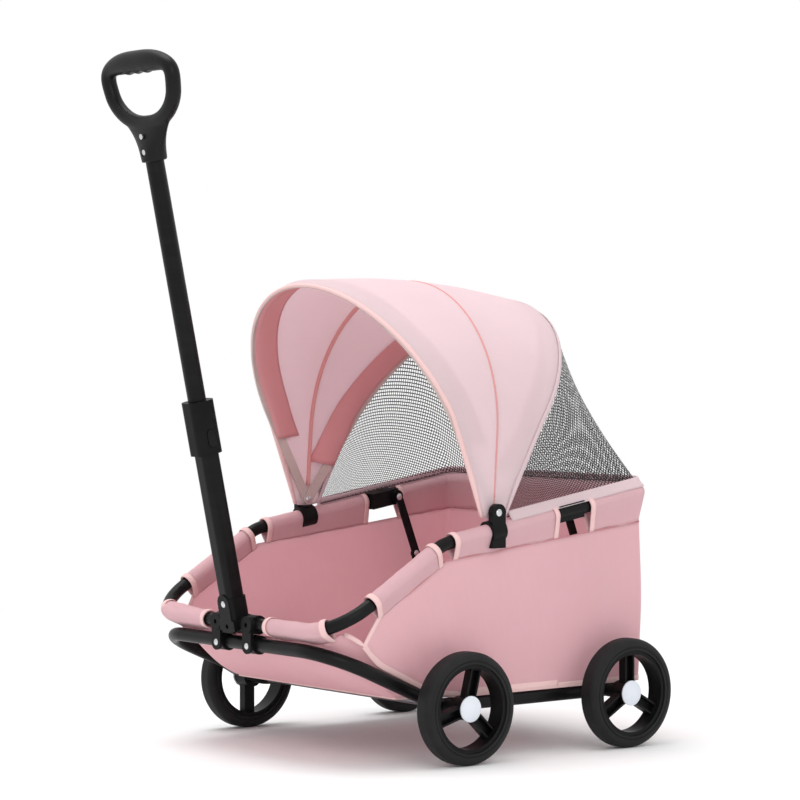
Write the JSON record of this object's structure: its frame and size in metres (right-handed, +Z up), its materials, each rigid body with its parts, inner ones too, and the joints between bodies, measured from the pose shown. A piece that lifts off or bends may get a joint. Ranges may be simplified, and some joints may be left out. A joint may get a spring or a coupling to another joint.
{
  "type": "pet stroller",
  "caption": "Folding pull-along pet stroller: bent-tube frame on spoked wheels, fabric basket, hinged canopy with a mesh back and a telescopic D-grip handle.",
  "frame": {"origin": "on the ground, under the middle of the stroller's box, seen from above", "axes": "+Z up, +Y from the handle end to the rear, +X to the right for someone who looks from the handle end to the rear"},
  "size_m": [0.534, 0.7333, 0.9493],
  "materials": {
    "frame_tube": "satin black powder coat",
    "stay_steel": "satin black",
    "black_plastic": "fine-grained black",
    "bright_steel": "bright zinc",
    "board_plastic": "matte board under the fabric's colour",
    "basket_fabric": "fine pink weave",
    "canopy_cloth": "fine pale pink weave",
    "mesh_cloth": "open black net",
    "bow_plastic": "taupe, satin",
    "tyre_rubber": "matte black foam rubber",
    "wheel_plastic": "moulded black",
    "cap_plastic": "light grey, glossy"
  },
  "bodies": {
    "chassis": {"chassis_tube": "frame_tube", "rear_cross_bar": "frame_tube", "front_axle": "bright_steel", "rear_axle": "bright_steel", "axle_spacers": "black_plastic", "axle_nuts": "bright_steel", "link_bracket_l": "black_plastic", "link_bracket_r": "black_plastic", "link_rivets": "bright_steel", "rail_plugs": "black_plastic", "rail_rivets": "bright_steel", "floor_board": "board_plastic", "basket_floor": "basket_fabric", "basket_walls": "basket_fabric", "stay_foot_l": "stay_steel", "stay_foot_r": "stay_steel", "stay_foot_pins": "bright_steel"},
    "ring": {"ring_tube": "frame_tube", "hinge_tube": "frame_tube", "rim_sleeves": "basket_fabric", "canopy_bracket_l": "black_plastic", "canopy_bracket_r": "black_plastic", "canopy_pins": "bright_steel", "stay_bracket_l": "black_plastic", "stay_bracket_r": "black_plastic", "stay_top_pins": "bright_steel", "canopy_mesh": "mesh_cloth"},
    "stay_upper_left": {"stay_upper_l": "stay_steel", "knee_rivet_l": "bright_steel"},
    "stay_upper_right": {"stay_upper_r": "stay_steel", "knee_rivet_r": "bright_steel"},
    "stay_lower_left": {"stay_lower_l": "stay_steel"},
    "stay_lower_right": {"stay_lower_r": "stay_steel"},
    "rear_bow": {"rear_bow": "bow_plastic", "canopy_fabric": "canopy_cloth"},
    "mid_rib": {"canopy_rib": "bow_plastic"},
    "front_bow": {"front_bow": "bow_plastic"},
    "handle": {"handle_bracket": "black_plastic", "handle_rivet": "bright_steel", "handle_lower_tube": "frame_tube", "handle_collar": "black_plastic"},
    "release_button": {"release_button": "black_plastic"},
    "handle_slider": {"handle_upper_tube": "frame_tube", "grip": "black_plastic", "grip_screws": "bright_steel"},
    "wheel_fl": {"tyre_fl": "tyre_rubber", "hub_fl": "wheel_plastic", "cap_fl": "cap_plastic"},
    "wheel_fr": {"tyre_fr": "tyre_rubber", "hub_fr": "wheel_plastic", "cap_fr": "cap_plastic"},
    "wheel_rl": {"tyre_rl": "tyre_rubber", "hub_rl": "wheel_plastic", "cap_rl": "cap_plastic"},
    "wheel_rr": {"tyre_rr": "tyre_rubber", "hub_rr": "wheel_plastic", "cap_rr": "cap_plastic"}
  },
  "joints": [
    {"name": "ring_fold", "type": "hinge", "parent": "chassis", "child": "ring", "pos_m": [0, -0.1904, 0.183], "axis": [-1, 0, 0], "range_deg": [0, 25], "deforming": ["basket_walls"]},
    {"name": "rear_bow_tilt", "type": "hinge", "parent": "ring", "child": "rear_bow", "pos_m": [0, 0.0796, 0.333], "axis": [-1, 0, 0], "range_deg": [0, 42], "deforming": ["canopy_mesh"]},
    {"name": "front_bow_tilt", "type": "hinge", "parent": "rear_bow", "child": "front_bow", "pos_m": [0, 0.0796, 0.333], "axis": [-1, 0, 0], "range_deg": [0, 58], "deforming": ["canopy_fabric"]},
    {"name": "mid_rib_tilt", "type": "hinge", "parent": "rear_bow", "child": "mid_rib", "pos_m": [0, 0.0796, 0.333], "axis": [-1, 0, 0], "range_deg": [0, 29.1]},
    {"name": "handle_tilt", "type": "hinge", "parent": "chassis", "child": "handle", "pos_m": [0, -0.1904, 0.183], "axis": [1, 0, 0], "range_deg": [-20, 36]},
    {"name": "handle_slide", "type": "slide", "parent": "handle", "child": "handle_slider", "axis": [0, -0.2062, 0.9785], "range_m": [-0.21, 0]},
    {"name": "release_press", "type": "slide", "parent": "handle", "child": "release_button", "axis": [-1, 0, 0], "range_m": [0, 0.0025], "stiffness_N_per_m": 400},
    {"name": "stay_upper_left", "type": "hinge", "parent": "ring", "child": "stay_upper_left", "pos_m": [-0.1888, 0.2336, 0.3325], "axis": [-1, 0, 0], "range_deg": [0, 69.4]},
    {"name": "stay_lower_left", "type": "hinge", "parent": "chassis", "child": "stay_lower_left", "pos_m": [-0.1923, 0.3216, 0.104], "axis": [1, 0, 0], "range_deg": [0, 65.8]},
    {"name": "stay_upper_right", "type": "hinge", "parent": "ring", "child": "stay_upper_right", "pos_m": [0.1888, 0.2336, 0.3325], "axis": [-1, 0, 0], "range_deg": [0, 69.4]},
    {"name": "stay_lower_right", "type": "hinge", "parent": "chassis", "child": "stay_lower_right", "pos_m": [0.1923, 0.3216, 0.104], "axis": [1, 0, 0], "range_deg": [0, 65.8]},
    {"name": "wheel_spin_fl", "type": "hinge", "parent": "chassis", "child": "wheel_fl", "pos_m": [-0.252, 0.0006, 0.076], "axis": [1, 0, 0], "continuous": true},
    {"name": "wheel_spin_fr", "type": "hinge", "parent": "chassis", "child": "wheel_fr", "pos_m": [0.252, 0.0006, 0.076], "axis": [1, 0, 0], "continuous": true},
    {"name": "wheel_spin_rl", "type": "hinge", "parent": "chassis", "child": "wheel_rl", "pos_m": [-0.252, 0.2906, 0.076], "axis": [1, 0, 0], "continuous": true},
    {"name": "wheel_spin_rr", "type": "hinge", "parent": "chassis", "child": "wheel_rr", "pos_m": [0.252, 0.2906, 0.076], "axis": [1, 0, 0], "continuous": true}
  ],
  "couplings": [
    {"joint": "mid_rib_tilt", "follows": "front_bow_tilt", "ratio": 0.5},
    {"joint": "stay_upper_left", "follows": "ring_fold", "ratio": 2.77},
    {"joint": "stay_lower_left", "follows": "ring_fold", "ratio": 2.627},
    {"joint": "stay_upper_right", "follows": "ring_fold", "ratio": 2.77},
    {"joint": "stay_lower_right", "follows": "ring_fold", "ratio": 2.627}
  ]
}
